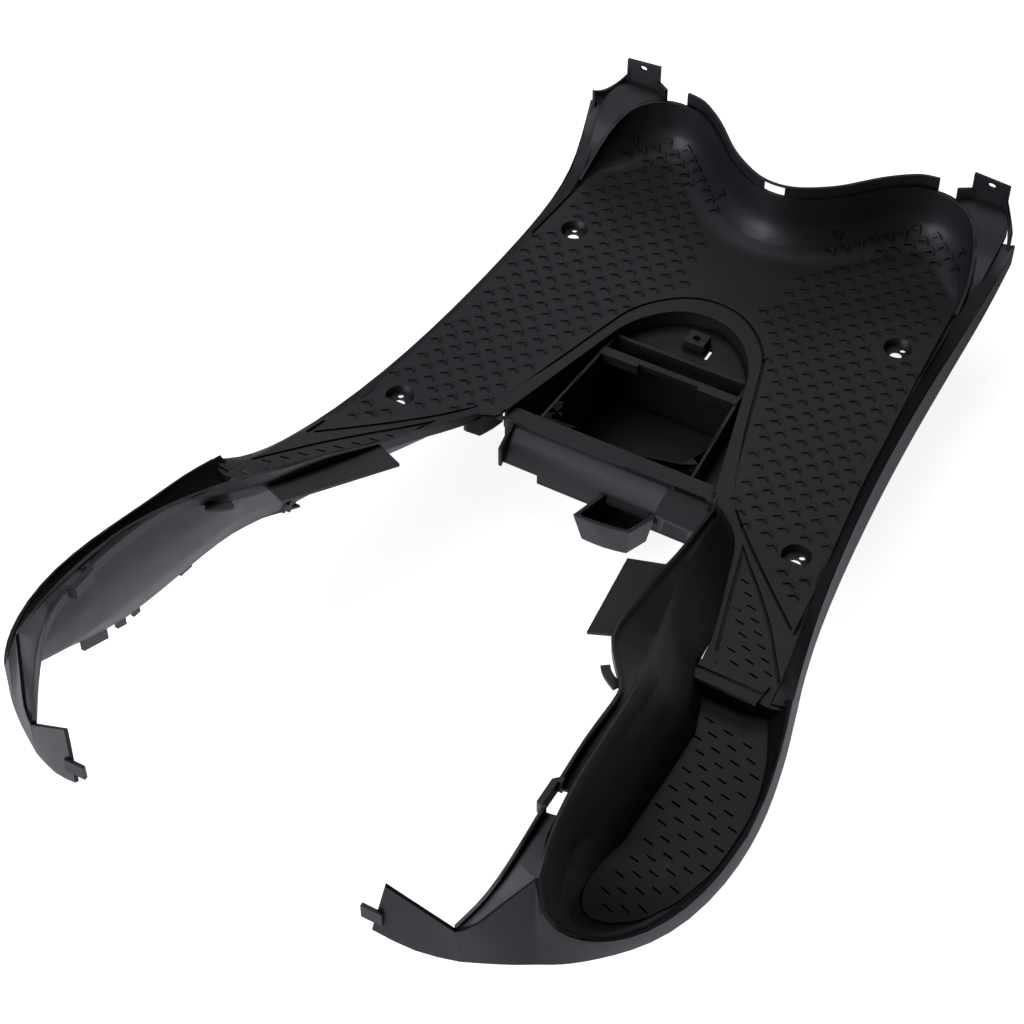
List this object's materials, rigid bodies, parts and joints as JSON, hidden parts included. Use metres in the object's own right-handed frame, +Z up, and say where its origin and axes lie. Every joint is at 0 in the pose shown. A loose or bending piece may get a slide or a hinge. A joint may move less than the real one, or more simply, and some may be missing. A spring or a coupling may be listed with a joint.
{
  "type": "scooter floorboard",
  "caption": "One-piece moulded scooter floorboard with a chevron foot deck, curved toe wall, arched battery bay and two raised rear arms with foot wells.",
  "frame": {"origin": "midway between the two front deck screws, at the height of the seats under their heads", "axes": "+X to the rider's right, +Y forward along the scooter, +Z up"},
  "size_m": [0.4974, 0.8295, 0.228],
  "materials": {
    "body": "black satin, lightly grained"
  },
  "bodies": {
    "root": {"floorboard": "body"}
  },
  "joints": []
}
